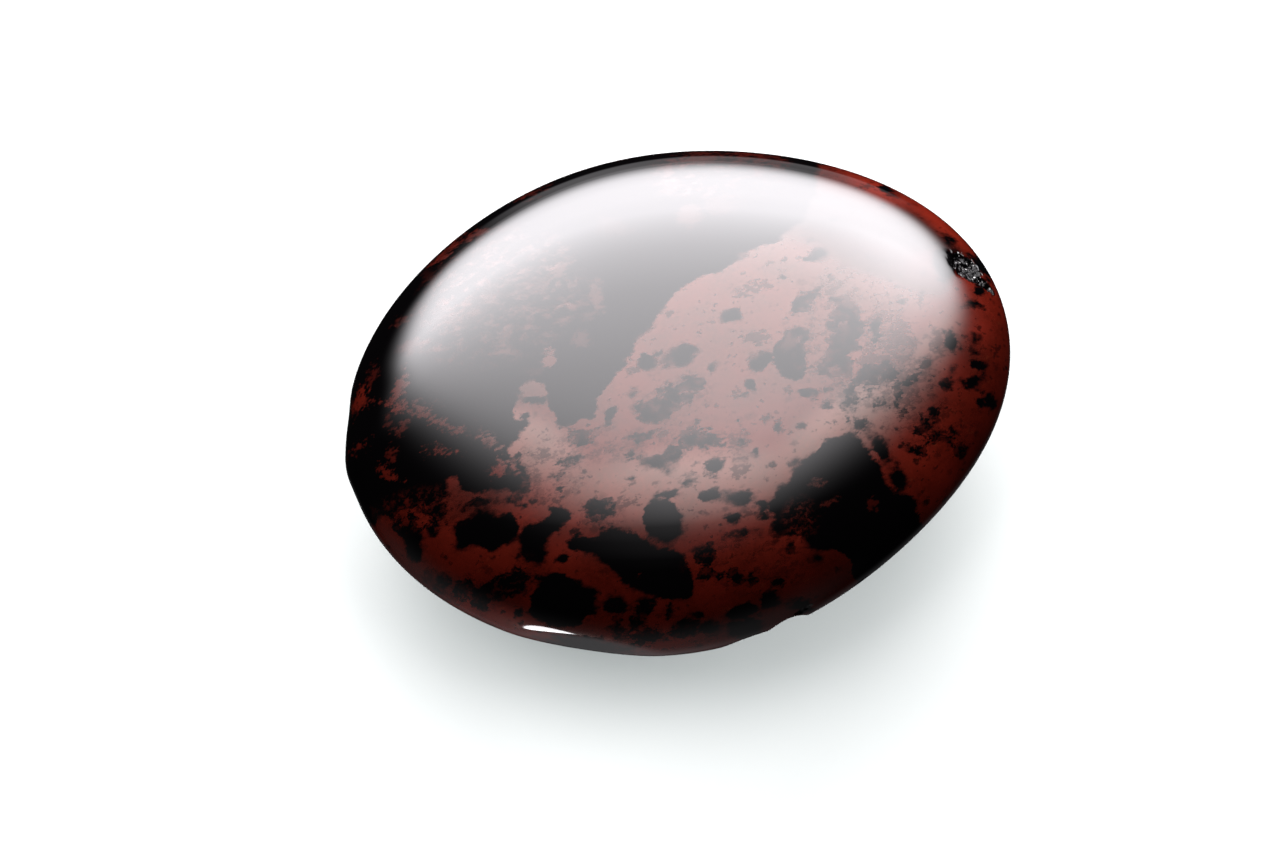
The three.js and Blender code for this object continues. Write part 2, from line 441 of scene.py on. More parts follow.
# Patches that are black by FAINT_SHARE only, written in the same way. They are FAINT_DEPTH pixels
# deep at most, so that the bends of their edges tear them all through.
FAINT_PATCHES = (
    (431, 505, 10, 5, 20), (430, 576, 6, 6), (534, 499, 14, 4, 5), (538, 483, 4, 5),
    (545, 459, 10, 4), (896, 404, 8, 7), (750, 291, 14, 7, 12), (765, 288, 9, 6), (758, 337, 12, 5),
    (737, 392, 6, 5), (665, 436, 5, 6), (778, 428, 5, 6), (741, 467, 9, 9), (735, 458, 5, 6),
    (689, 481, 8, 7, 20), (747, 515, 6, 3), (632, 480, 5, 4), (619, 447, 5, 5), (788, 389, 4, 4),
    (825, 405, 5, 4), (866, 186, 5, 4), (934, 350, 5, 5), (994, 352, 5, 6), (917, 363, 6, 6),
    (922, 300, 4, 4), (881, 398, 12, 6), (766, 578, 13, 4), (625, 503, 10, 6, 20),
    (596, 452, 13, 4, -3), (740, 439, 9, 8, 30), (884, 348, 32, 34), (905, 385, 30, 22, 20),
    (940, 345, 12, 14), (400, 498, 24, 10, -20),
)
FAINT_SHARE = 0.6
FAINT_DEPTH = 2.0

# Red-brown flecks inside the black areas: x, y, half length, half width, slope and how strong
# they are.
RED_FLECKS = (
    (361, 400, 12, 5, 62, 0.8), (401, 386, 4, 17, -12, 0.7), (400, 408, 8, 5, 0, 0.8),
    (420, 411, 7, 5, 20, 0.7), (438, 424, 12, 4, -25, 0.7), (376, 402, 26, 2, -1, 0.5),
    (402, 426, 8, 3, 50, 0.5), (444, 451, 13, 4, 0, 0.8), (391, 451, 5, 5, 0, 0.45),
    (388, 473, 9, 4, -45, 0.7), (394, 460, 4, 4, 0, 0.4), (358, 450, 8, 3, 45, 0.5),
    (388, 421, 4, 6, 0, 0.3), (488, 442, 4, 4, 0, 0.35), (500, 466, 9, 5, 40, 0.8),
    (408, 505, 4, 4, 0, 0.5), (372, 376, 3, 8, -20, 0.3), (564, 270, 8, 11, 0, 0.3),
    (598, 298, 8, 15, 15, 0.36), (575, 304, 12, 5, 5, 0.2), (592, 315, 11, 4, 10, 0.2),
    (510, 332, 6, 9, 0, 0.22), (550, 359, 8, 8, 30, 0.65), (580, 339, 9, 8, -25, 0.27),
    (534, 369, 12, 5, 10, 0.15), (430, 278, 8, 9, 0, 0.1), (402, 322, 5, 9, -60, 0.3),
    (615, 226, 16, 9, 5, 0.08), (690, 216, 12, 12, 0, 0.2), (669, 186, 10, 11, 0, 0.12),
    (722, 205, 18, 10, 5, 0.12), (472, 314, 22, 12, 25, 0.06), (445, 318, 16, 10, 25, 0.1),
    (412, 346, 14, 8, 30, 0.25), (482, 235, 14, 3, 25, 0.5), (500, 229, 12, 3, 12, 0.15),
    (445, 253, 16, 4, 42, 0.75), (523, 195, 14, 3, 22, 0.4), (700, 158, 26, 5, 12, 0.4),
    (735, 163, 14, 4, 20, 0.4), (757, 156, 22, 5, -12, 0.5), (776, 166, 8, 4, -12, 0.5),
    (670, 168, 8, 8, 30, 0.3), (757, 170, 7, 6, 0, 0.4), (830, 502, 9, 3, 38, 0.35),
    (871, 504, 6, 6, 0, 0.3), (815, 486, 5, 3, 0, 0.3), (627, 616, 4, 19, -20, 0.8),
    (530, 285, 14, 8, 30, 0.14), (492, 292, 14, 8, 25, 0.1), (406, 410, 14, 2, -14, 0.7),
    (428, 419, 14, 2, -28, 0.7), (451, 428, 12, 2, -15, 0.6), (476, 436, 15, 2, -18, 0.6),
    (498, 448, 11, 2, -45, 0.6), (510, 463, 9, 2, -57, 0.6), (852, 303, 14, 6, 10, 0.4),
    (846, 330, 6, 10, 0, 0.3), (826, 354, 8, 6, 40, 0.35), (836, 372, 10, 6, -20, 0.3),
    (790, 345, 8, 6, 0, 0.3),
)

# How far the pattern's edges wander, in pixels, and the size of those bends in millimetres.
# They wander by the first share of that, and by the second more where black and red-brown are
# mixed. The shift keeps the two bends apart, and the seed fixes which way they go.
WANDER = ((5.0, 2.6), (3.5, 1.1))
WANDER_SHARES = (0.7, 0.8)
WANDER_SHIFT = 3.1
WANDER_SEED = 11

# Areas where black and red-brown are finely mixed, written like the patches.
MIXED_AREAS = (
    (850, 335, 60, 70), (890, 395, 60, 40), (750, 565, 60, 32), (425, 510, 50, 20, 8),
    (600, 515, 24, 20), (676, 400, 40, 22, 20), (640, 625, 50, 22, 5), (940, 430, 40, 30),
    (800, 520, 16, 20), (500, 300, 90, 60, 25), (725, 175, 70, 25), (550, 470, 40, 30, -20),
    (600, 445, 60, 18), (480, 590, 60, 24, 20), (700, 440, 50, 20),
)
MIXED_MARGIN = 14.0

# How much light the tiny crystals in the red-brown spread, and a gain on its colour that paints
# light and shade: a level for the whole stone, and areas with another, written like the flecks and
# laid over it.
HAZE_BASE = 0.24
HAZE_AREAS = (
    (680, 610, 420, 55, 0, 0.08), (985, 430, 40, 120, 0, 0.15), (850, 215, 170, 45, -25, 0.05),
    (535, 450, 50, 28, -30, 0.9), (690, 488, 140, 34, 3, 1.0), (850, 430, 80, 32, 34, 1.0),
    (930, 360, 50, 18, 60, 0.6),
)
# Most of these areas are painted light and shade. The red-brown is weaker on the front and lower
# right, which face away from the softbox, and almost gone under the brightest reflection. It is
# stronger along the reflection's lower edge. The rest of the areas make the red-brown redder or
# darker in those places.
RED_PAINTED_LIGHT_BASE = 1.0
RED_PAINTED_LIGHT_AREAS = (
    (660, 470, 230, 50, 4, 1.28), (590, 500, 95, 22, 4, 1.55), (620, 535, 90, 12, 2, 0.85),
    (690, 595, 300, 40, 0, 0.72), (825, 585, 80, 44, 25, 0.55), (985, 430, 30, 110, 0, 0.65),
    (855, 228, 130, 34, -20, 0.05), (880, 264, 100, 20, -15, 0.25), (800, 265, 50, 20, -15, 0.75),
    (865, 292, 60, 16, -15, 0.7), (930, 272, 24, 20, 0, 0.35), (465, 500, 50, 22, 8, 0.65),
    (760, 168, 70, 12, 0, 0.5), (535, 383, 22, 22, 0, 0.65), (535, 415, 24, 10, 0, 1.2),
    (975, 300, 24, 40, 0, 1.25), (495, 622, 60, 16, -22, 2.2), (880, 188, 40, 10, -28, 1.6),
    (935, 215, 60, 10, -40, 1.5), (400, 545, 40, 40, -40, 0.9), (650, 640, 60, 10, 0, 1.4),
)

# The depth well outside every patch, in pixels, and where an area ends, as a share of its size.
NO_DEPTH = -40.0
AREA_END = 1.5

# Where the surface turns away from the view the pattern goes over into one with the same
# character that runs all round the stone, in millimetres. Waves are written as height, size and
# a shift that keeps them apart, and patches, one to a cell, as cell, radius and such a shift.
FACING_HIDDEN = 0.04
FACING_SHOWN = 0.2
HIDDEN_BENDS = (1.6, 4.0)
HIDDEN_AREAS = (9.0, 17.0, (4.2, 1.7, 0.3))
HIDDEN_PATCHES = (5.2, 1.9, (0, 0, 0))
HIDDEN_EDGES = (1.6, 6.0, (0, 0, 0))
HIDDEN_FAINT = (3.1, 0.9, (5, 1, 7))
HIDDEN_FLECKS = (4.1, 1.0, (9, 3, 5))
HIDDEN_FLECK_STRENGTH = 0.7
HIDDEN_MIX = (1.5, 7.0, (2, 8, 6))
HIDDEN_MIX_MIDDLE = 0.5

# What the pattern stores at every vertex. The strength part is a gain on the red-brown that paints
# light and shade.
PARTS = ("black_depth", "faint_depth", "fleck_depth", "fleck_strength", "mixed", "haze", "strength")


def outline_depth(pixels, outline):
    """How deep pixels lie inside a closed outline, negative outside."""
    corners = np.array(outline, float)
    nearest = np.full(len(pixels), np.inf)
    inside = np.zeros(len(pixels), bool)
    for start, end in zip(corners, np.roll(corners, -1, 0)):
        side = end - start
        away = pixels - start
        share = np.clip(away @ side / (side @ side), 0, 1)
        nearest = np.minimum(nearest, np.linalg.norm(away - share[:, None] * side, axis=1))
        if start[1] != end[1]:
            crosses = (start[1] > pixels[:, 1]) != (end[1] > pixels[:, 1])
            at = start[0] + (pixels[:, 1] - start[1]) * side[0] / side[1]
            inside ^= crosses & (pixels[:, 0] < at)
    return np.where(inside, nearest, -nearest)


def patch_reach(pixels, patch):
    """Distance of pixels from the middle of an oval patch as a share of its size: 1 is its edge."""
    x, y, half_length, half_width = patch[:4]
    turn = radians(patch[4]) if len(patch) > 4 else 0
    away_x, away_y = pixels[:, 0] - x, pixels[:, 1] - y
    along = away_x * math.cos(turn) - away_y * math.sin(turn)
    across = away_x * math.sin(turn) + away_y * math.cos(turn)
    return np.hypot(along / half_length, across / half_width)


def wander(points, size, away):
    """Smooth noise vectors at points in millimetres, with bends of the given size."""
    shift = Vector((away, -away, away / 2))
    return np.array([noise.noise_vector(Vector(p) / size + shift)[:] for p in points])


def deepest(pixels, patches):
    """How deep pixels lie inside the patch that holds them deepest, and which one that is."""
    depth = np.full(len(pixels), NO_DEPTH)
    which = np.zeros(len(pixels), int)
    for number, patch in enumerate(patches):
        inside = (1 - patch_reach(pixels, patch)) * min(patch[2], patch[3])
        which = np.where(inside > depth, number, which)
        depth = np.maximum(depth, inside)
    return depth, which


def laid_over(pixels, base, areas):
    """A base level and the areas laid over it, each with a wide soft edge."""
    level = np.full(len(pixels), base)
    for area in areas:
        level += (area[5] - level) * smooth(AREA_END - patch_reach(pixels, area))
    return level


def shown_pattern(points):
    """The PARTS of the pattern on the side that the photograph shows. Depths are in millimetres."""
    plain = photo_pixels(points)
    mixed = smooth(0.5 + deepest(plain, MIXED_AREAS)[0] / MIXED_MARGIN)
    pixels = plain
    plainly, more = WANDER_SHARES
    for number, (reach, size) in enumerate(WANDER):
        bend = wander(points, size, WANDER_SHIFT * number)[:, :2]
        pixels = pixels + reach * (plainly + more * mixed)[:, None] * bend
    black = deepest(pixels, BLACK_PATCHES)[0]
    for outline in BLACK_OUTLINES:
        black = np.maximum(black, outline_depth(pixels, outline))
    faint = np.minimum(deepest(pixels, FAINT_PATCHES)[0], FAINT_DEPTH)
    fleck, which = deepest(pixels, RED_FLECKS)
    fleck_strength = np.array([patch[5] for patch in RED_FLECKS])[which]
    haze = laid_over(plain, HAZE_BASE, HAZE_AREAS)
    # The strength part is a gain on the red-brown that paints light and shade
    strength = laid_over(plain, RED_PAINTED_LIGHT_BASE, RED_PAINTED_LIGHT_AREAS)
    depths = (black / PIXELS_PER_MM, faint / PIXELS_PER_MM, fleck / PIXELS_PER_MM)
    return np.stack((*depths, fleck_strength, mixed, haze, strength))


def wave(place, height, size, shift):
    """A smooth rise or fall at a place."""
    return height * noise.noise(place / size + Vector(shift))


def cell_depth(place, cell, radius, shift):
    """How deep a place lies inside the round patch of its cell."""
    return radius - noise.voronoi(place / cell + Vector(shift))[0][0] * cell


def hidden_pattern(points):
    """The same PARTS of a pattern with no view: wide areas, patches and flecks."""
    parts = np.empty((len(PARTS), len(points)))
    reach, size = HIDDEN_BENDS
    for i, point in enumerate(points):
        place = Vector(point)
        bent = place + reach * noise.noise_vector(place / size)
        patch = cell_depth(bent, *HIDDEN_PATCHES) + wave(bent, *HIDDEN_EDGES)
        black = max(wave(bent, *HIDDEN_AREAS), patch)
        faint = min(cell_depth(bent, *HIDDEN_FAINT), FAINT_DEPTH / PIXELS_PER_MM)
        fleck = cell_depth(bent, *HIDDEN_FLECKS)
        mixed = min(max(HIDDEN_MIX_MIDDLE + wave(bent, *HIDDEN_MIX), 0), 1)
        rest = HIDDEN_FLECK_STRENGTH, mixed, HAZE_BASE, RED_PAINTED_LIGHT_BASE
        parts[:, i] = (black, faint, fleck, *rest)
    return parts


def pattern(points, facing):
    """The PARTS of the pattern at every vertex."""
    shown = smooth((facing - FACING_HIDDEN) / (FACING_SHOWN - FACING_HIDDEN))
    return shown * shown_pattern(points) + (1 - shown) * hidden_pattern(points)


# Node building

def put(tree, socket, value):
    """Sets a socket to a value, or links it to another socket."""
    if isinstance(value, bpy.types.NodeSocket):
        tree.links.new(value, socket)
    else:
        socket.default_value = value


def empty_tree(owner):
    owner.use_nodes = True
    owner.node_tree.nodes.clear()
    return owner.node_tree


def add_node(tree, kind, inputs=None, **settings):
    made = tree.nodes.new("ShaderNode" + kind)
    for name, value in settings.items():
        setattr(made, name, value)
    for name, value in (inputs or {}).items():
        put(tree, made.inputs[name], value)
    return made


def maths(tree, operation, *values):
    made = add_node(tree, "Math", operation=operation)
    for socket, value in zip(made.inputs, values):
        put(tree, socket, value)
    return made.outputs[0]


def times(tree, first, second):
    return maths(tree, "MULTIPLY", first, second)


def times_plus(tree, first, second, third):
    return maths(tree, "MULTIPLY_ADD", first, second, third)


def minus(tree, first, second):
    return maths(tree, "SUBTRACT", first, second)


def vector_maths(tree, operation, first, second, output="Vector"):
    made = add_node(tree, "VectorMath", operation=operation)
    put(tree, made.inputs[0], first)
    put(tree, made.inputs["Scale" if operation == "SCALE" else 1], second)
    return made.outputs[output]


def blend_range(tree, value, low, high):
    """0 below low, 1 above high, and a smooth step between."""
    inputs = {"Value": value, "From Min": low, "From Max": high}
    return add_node(tree, "MapRange", inputs, interpolation_type="SMOOTHSTEP").outputs["Result"]


def mix_colours(tree, share, first, second):
    inputs = {"Factor": share, "A": first, "B": second}
    return add_node(tree, "Mix", inputs, data_type="RGBA").outputs["Result"]


def mix_shaders(tree, share, first, second):
    made = add_node(tree, "MixShader", {"Fac": share})
    tree.links.new(first, made.inputs[1])
    tree.links.new(second, made.inputs[2])
    return made.outputs["Shader"]


def noise_value(tree, place, scale, detail, roughness):
    inputs = {"Vector": place, "Scale": scale, "Detail": detail, "Roughness": roughness}
    return add_node(tree, "TexNoise", inputs).outputs["Fac"]


# The material. Its coordinates are millimetres on the stone. A noise is written as its bends to
# a millimetre, its detail and its roughness, and a range as where it starts and is full.
BLACK_GLASS = (0.0005, 0.0004, 0.0005, 1)
DARK_MAHOGANY = (0.030, 0.0018, 0.0006, 1)
MAHOGANY = (0.052, 0.0034, 0.0014, 1)
PALE_MAHOGANY = (0.075, 0.0130, 0.005, 1)
# The red-brown itself: slow changes, fine mottling and thin pale wisps along the stone.
SLOW_NOISE = (0.22, 3.0, 0.5)
SLOW_RANGE = (0.3, 0.7)
MOTTLE_NOISE = (2.2, 4.0, 0.65)
MOTTLE_RANGE = (0.35, 0.75)
MOTTLE_SHARE = 0.6
WISP_STRETCH = (0.5, 1.5, 1.0)
WISP_NOISE = (1.1, 5.0, 0.7)
WISP_RANGE = (0.58, 0.8)
WISP_SHARE = 0.5
# The glass flowed along the stone, so its finer bends are drawn out that way.
FLOW_STRETCH = (0.7, 1.2, 1.2)
# How far coarse and fine bends move the edges of the black, in millimetres, where the two are
# kept apart and where they are mixed.
COARSE_NOISE = (0.6, 2.0, 0.5)
FINE_NOISE = (2.2, 3.0, 0.6)
COARSE_BENDS = (1.3, 2.0)
FINE_BENDS = (0.9, 2.0)
# How soft those edges are, in millimetres, and where they are softer.
EDGE_SOFTNESS = (0.16, 0.42)
SOFTER_NOISE = (0.3, 2.0, 0.5)
SOFTER_RANGE = (0.4, 0.65)
# How much more the fine bends tear the faint patches and the flecks, in millimetres. Flecks are
# torn by the coarse bends too, and fade in over FLECK_FADE.
FAINT_TEARS = 1.6
FLECK_TEARS = (1.2, 2.4)
FLECK_FADE = (-0.2, 0.35)
# Veils where the two are mixed, and how much they lighten the black and darken the red-brown.
VEIL_NOISE = (1.1, 5.0, 0.7)
VEIL_LIGHT = 0.45
VEIL_LIGHT_RANGE = (0.48, 0.66)
VEIL_DARK = 0.5
VEIL_DARK_RANGE = (0.52, 0.36)
# Specks in the red-brown: how many cells to a millimetre hold one each, the greatest radius as
# a share of a cell, and how dark they are. Their core is a share of their radius.
SPECKS = ((0.75, 0.5, 1.0), (1.5, 0.5, 0.75))
SPECK_CORE = 0.35
# Specks and veils stray by up to this many millimetres, with so many bends to a millimetre.
STRAY_REACH = 0.5
STRAY_BENDS = 2.0
# Polished glass, and the pinkish haze that the tiny crystals in the red-brown spread round each
# reflection.
POLISH = 0.035
GLASS_IOR = 1.5
HAZE_TINT = (1.0, 0.81, 0.68, 1)
HAZE_LEVEL = 0.6
HAZE_ROUGHNESS = 0.32
# Broken glass: mostly dull black with small pale specks, written like the specks, which are painted
# glints of light on its tiny facets, and how much of it is dull.
PAINTED_GLINT_SPECKS = (2.6, 0.42, 1.0)
PAINTED_GLINT_COLOUR = (0.55, 0.54, 0.53, 1)
DULL_SHARE = 0.8
DULL_ROUGHNESS = 0.6
BROKEN_ROUGHNESS = 0.15


def part(tree, name):
    return add_node(tree, "Attribute", attribute_name=name).outputs["Fac"]


def between(tree, share, pair):
    """A value that goes from the first of a pair to the second."""
    return times_plus(tree, share, pair[1] - pair[0], pair[0])


def without(tree, black, share):
    """The black with a share of it taken away."""
    return times(tree, black, minus(tree, 1.0, share))


def specks(tree, place, scale, radius, darkness):
    """One speck of its own size and darkness near each point of a scattered set."""
    cells = add_node(tree, "TexVoronoi", {"Vector": place, "Scale": scale}, feature="F1")
    chance = add_node(tree, "SeparateColor", {"Color": cells.outputs["Color"]})
    size = times(tree, chance.outputs["Red"], radius)
    core = times(tree, size, SPECK_CORE)
    speck = blend_range(tree, cells.outputs["Distance"], size, core)
    dark = times(tree, chance.outputs["Green"], darkness)
    return times(tree, speck, dark)


def strayed(tree, place, flow):
    """The places of the flow, moved a little here and there."""
    stray = add_node(tree, "TexNoise", {"Vector": place, "Scale": STRAY_BENDS})
    stray = vector_maths(tree, "SUBTRACT", stray.outputs["Color"], (0.5, 0.5, 0.5))
    stray = vector_maths(tree, "MULTIPLY", stray, (STRAY_REACH * 2,) * 3)
    return vector_maths(tree, "ADD", flow, stray)


def black_areas(tree, place, bends, fine):
    """The black and the faint areas, with edges that are softer in some places."""
    softer = blend_range(tree, noise_value(tree, place, *SOFTER_NOISE), *SOFTER_RANGE)
    softness = between(tree, softer, EDGE_SOFTNESS)
    torn = times_plus(tree, fine, FAINT_TEARS, bends)
    areas = []
    for name, share, moved in (("black_depth", 1.0, bends), ("faint_depth", FAINT_SHARE, torn)):
        edge = maths(tree, "DIVIDE", maths(tree, "ADD", part(tree, name), moved), softness)
        areas.append(times(tree, blend_range(tree, edge, -1.0, 1.0), share))
    return areas


def black_share(tree, place):
    """Where the stone is black glass (1) and where red-brown (0)."""
    mixed = part(tree, "mixed")
    flow = add_node(tree, "Mapping", {
        "Vector": place, "Rotation": (0, 0, radians(-VIEW_AZIMUTH)), "Scale": FLOW_STRETCH,
    }).outputs["Vector"]
    coarse = minus(tree, noise_value(tree, flow, *COARSE_NOISE), 0.5)
    fine = minus(tree, noise_value(tree, flow, *FINE_NOISE), 0.5)
    bends = times(tree, coarse, between(tree, mixed, COARSE_BENDS))
    bends = times_plus(tree, fine, between(tree, mixed, FINE_BENDS), bends)

    # What is dark: areas, specks and veils
    shares = black_areas(tree, place, bends, fine)
    bent = strayed(tree, place, flow)
    shares += [specks(tree, bent, *kind) for kind in SPECKS]
    veil = noise_value(tree, bent, *VEIL_NOISE)
    dark = times(tree, blend_range(tree, veil, *VEIL_DARK_RANGE), VEIL_DARK)
    shares.append(times(tree, dark, mixed))
    black = shares[0]
    for share in shares[1:]:
        black = maths(tree, "MAXIMUM", black, share)

    # What is lighter in it: veils and red-brown flecks
    light = times(tree, blend_range(tree, veil, *VEIL_LIGHT_RANGE), VEIL_LIGHT)
    black = without(tree, black, times(tree, light, mixed))
    torn = times_plus(tree, coarse, FLECK_TEARS[0], part(tree, "fleck_depth"))
    torn = times_plus(tree, fine, FLECK_TEARS[1], torn)
    fleck = blend_range(tree, torn, *FLECK_FADE)
    black = without(tree, black, times(tree, fleck, part(tree, "fleck_strength")))
    return maths(tree, "MAXIMUM", black, part(tree, "broken"))


def red_brown(tree, place):
    """The colour of the red-brown glass, scaled by the gain that paints light and shade on it."""
    slow = blend_range(tree, noise_value(tree, place, *SLOW_NOISE), *SLOW_RANGE)
    red = mix_colours(tree, slow, DARK_MAHOGANY, MAHOGANY)
    mottle = blend_range(tree, noise_value(tree, place, *MOTTLE_NOISE), *MOTTLE_RANGE)
    red = mix_colours(tree, times(tree, mottle, MOTTLE_SHARE), red, MAHOGANY)
    drawn = vector_maths(tree, "MULTIPLY", place, WISP_STRETCH)
    wisps = blend_range(tree, noise_value(tree, drawn, *WISP_NOISE), *WISP_RANGE)
    red = mix_colours(tree, times(tree, wisps, WISP_SHARE), red, PALE_MAHOGANY)
    # The strength part scales the colour, painting light and shade on the red-brown
    return vector_maths(tree, "SCALE", red, part(tree, "strength"))


def polished_glass(tree, colour, black, broken):
    """Glossy all over, with a haze round the reflections in the red-brown."""
    roughness = times_plus(tree, broken, BROKEN_ROUGHNESS - POLISH, POLISH)
    clear = add_node(tree, "BsdfPrincipled", {
        "Base Color": colour, "Roughness": roughness, "IOR": GLASS_IOR,
    })
    hazy = add_node(tree, "BsdfPrincipled", {
        "Base Color": colour, "Roughness": HAZE_ROUGHNESS, "IOR": GLASS_IOR,
        "Specular IOR Level": HAZE_LEVEL, "Specular Tint": HAZE_TINT, "Coat Weight": 1.0,
        "Coat Roughness": POLISH, "Coat IOR": GLASS_IOR,
    })
    haze = times(tree, minus(tree, 1.0, black), part(tree, "haze"))
    return mix_shaders(tree, haze, clear.outputs["BSDF"], hazy.outputs["BSDF"])


def obsidian_material():
    material = bpy.data.materials.new(SLOT)
    tree = empty_tree(material)
    where = add_node(tree, "TexCoord").outputs["Object"]
    place = vector_maths(tree, "MULTIPLY", where, (1 / MM,) * 3)
    black = black_share(tree, place)
    broken = part(tree, "broken")
    colour = mix_colours(tree, black, red_brown(tree, place), BLACK_GLASS)
    glass = polished_glass(tree, colour, black, broken)

    # Dull where it is broken, with painted glints as pale specks
    glint_painted_black = mix_colours(tree, specks(tree, place, *PAINTED_GLINT_SPECKS), BLACK_GLASS, PAINTED_GLINT_COLOUR)
    dull = add_node(tree, "BsdfPrincipled", {
        "Base Color": glint_painted_black, "Roughness": DULL_ROUGHNESS, "Specular IOR Level": 0.0,
    })
    dullness = times(tree, broken, DULL_SHARE)
    stone = mix_shaders(tree, dullness, glass, dull.outputs["BSDF"])
    add_node(tree, "OutputMaterial", {"Surface": stone})
    return material


# The stone

def facing_of(mesh, points):
    """How far each vertex faces the camera: 1 straight at it, 0 edge on."""
    normals = np.empty(len(mesh.vertices) * 3)
    mesh.vertices.foreach_get("normal", normals)
    eye = np.array(VIEW_TARGET_MM) + np.array(view_axes()[0]) * VIEW_DISTANCE_MM
    sight = eye - points
    sight /= np.linalg.norm(sight, axis=1)[:, None]
    return (normals.reshape(-1, 3) * sight).sum(1)


def store(mesh, name, values):
    attribute = mesh.attributes.new(name, "FLOAT", "POINT")
    attribute.data.foreach_set("value", values.astype(np.float32))


def make_stone():
    low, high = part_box(STONE)
    mesh = ball_mesh()
    refine_chips(mesh)
    polished = surface_of_directions(read_points(mesh))
    carved, broken = carve_chips(polished)
    points = fit_to_box(carved, low, high)
    write_points(mesh, points)
    mesh.shade_smooth()
    placed = points / MM
    parts = pattern(placed, facing_of(mesh, placed))
    for name, values in zip(PARTS, parts):
        store(mesh, name, values)
    store(mesh, "broken", broken)
    stone = new_object("polished_stone", mesh)
    mesh.materials.append(obsidian_material())
    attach(stone, "root")
    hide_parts(STONE)


# The floor: plain pale paper with light of its own, so that its shadows stay pale. The stone
# doesn't mirror it: what the stone mirrors from below is part of the world's light.
FLOOR_SIZE = 4.0
FLOOR_DROP = 0.00005
FLOOR_ALBEDO = 0.02
FLOOR_GLOW = (0.187, 0.217, 0.216, 1)

# Soft lights for the floor alone: azimuth to the right of straight away from the camera,
# elevation, half width and half height in degrees, and the brightness that each gives the floor.
FLOOR_LIGHTS = (
    (-65, 16, 30, 9, 0.26), (0, 16, 30, 9, 0.50), (85, 16, 30, 9, 0.33),
    (-65, 58, 30, 20, 0.25), (45, 58, 30, 20, 0.20),
)
FLOOR_LIGHT_DISTANCE = 8.0


def direction(azimuth, elevation):
    """A direction by its angle to the right of straight away from the camera and its elevation."""
    turn = radians(azimuth - VIEW_AZIMUTH)
    rise = radians(elevation)
    level = math.cos(rise)
    return Vector((math.sin(turn) * level, math.cos(turn) * level, math.sin(rise)))


def floor_material():
    material = bpy.data.materials.new("pale_floor")
    tree = empty_tree(material)
    paper = add_node(tree, "BsdfDiffuse", {"Color": (FLOOR_ALBEDO,) * 3 + (1,)})
    glow = add_node(tree, "Emission", {"Color": FLOOR_GLOW, "Strength": 1.0})
    both = add_node(tree, "AddShader")
    tree.links.new(paper.outputs["BSDF"], both.inputs[0])
    tree.links.new(glow.outputs["Emission"], both.inputs[1])
    add_node(tree, "OutputMaterial", {"Surface": both.outputs["Shader"]})
    return material


def make_floor():
    mesh = bpy.data.meshes.new("floor")
    half = FLOOR_SIZE / 2
    sides = ((-half, -half), (half, -half), (half, half), (-half, half))
    mesh.from_pydata([(x, y, -FLOOR_DROP) for x, y in sides], [], [(0, 1, 2, 3)])
    mesh.materials.append(floor_material())
    floor = new_object("floor", mesh)
    floor.visible_diffuse = False
    floor.visible_glossy = False
    floor.visible_shadow = False
    return floor


def make_floor_lights(floor):
    lit = bpy.data.collections.new("lit_floor")
    lit.objects.link(floor)
    for azimuth, elevation, half_width, half_height, share in FLOOR_LIGHTS:
        towards = direction(azimuth, elevation)
        data = bpy.data.lights.new("floor_light", "AREA")
        data.shape = "ELLIPSE"
        data.size = 2 * FLOOR_LIGHT_DISTANCE * math.tan(radians(half_width))
        data.size_y = 2 * FLOOR_LIGHT_DISTANCE * math.tan(radians(half_height))
        # The power that makes the floor under it as bright as its share
        data.energy = (math.pi * FLOOR_LIGHT_DISTANCE) ** 2 * share / (FLOOR_ALBEDO * towards.z)
        light = new_object("floor_light", data)
        light.location = towards * FLOOR_LIGHT_DISTANCE
        light.rotation_euler = towards.to_track_quat("Z", "Y").to_euler()
        light.visible_camera = False
        light.visible_glossy = False
        light.light_linking.receiver_collection = lit


# The light: one large softbox behind and above the stone, in an otherwise dark room, and a small
# lamp low at the front left. Places on the softbox are slopes across and up from its middle
# direction, on a plane square to it, and it fades out where that plane is nearly edge on.
LIGHT_TINT = (1.0, 0.972, 1.005, 1)
SOFTBOX_ELEVATION = 50.0
SOFTBOX_FRONT = (0.05, 0.15)
# Its brightness at slopes up the middle line, and how much the lines of equal brightness curve up
# at the sides
SOFTBOX_BRIGHTNESS = (
    (-1.5, 0.3), (-1.3, 1.4), (-1.1, 5.3), (-0.9, 10.7), (-0.7, 14.2), (-0.5, 16.5), (-0.35, 17.3),
    (-0.15, 12.7), (0.0, 10.2), (0.2, 8.2), (0.4, 6.6), (0.6, 4.7), (0.8, 2.2), (1.0, 0.5),
    (1.2, 0.2), (1.6, 0.03), (2.0, 0.0),
)
SOFTBOX_CURVE = 0.067
# From its wide lower to its slim upper part: where it narrows, and there the half width, shift to
# the right, softness of the sides and how much brighter it gets to the right
SOFTBOX_NARROWS = (-0.27, 0.83)
SOFTBOX_HALF_WIDTHS = (0.86, 0.34)
SOFTBOX_SHIFTS = (-0.033, 0.066)
SOFTBOX_SOFTNESS = (0.084, 0.141)
SOFTBOX_RIGHT_GAINS = (0.06, 0.74)
# A brighter spot on it: place, reach and how much brighter
SOFTBOX_SPOT = (0.43, -0.15, 0.3, 0.2)
# Its lower right corner is cut off: height at the middle, slope and softness of the cut
SOFTBOX_CUT = (-1.5, 0.95, 0.14)

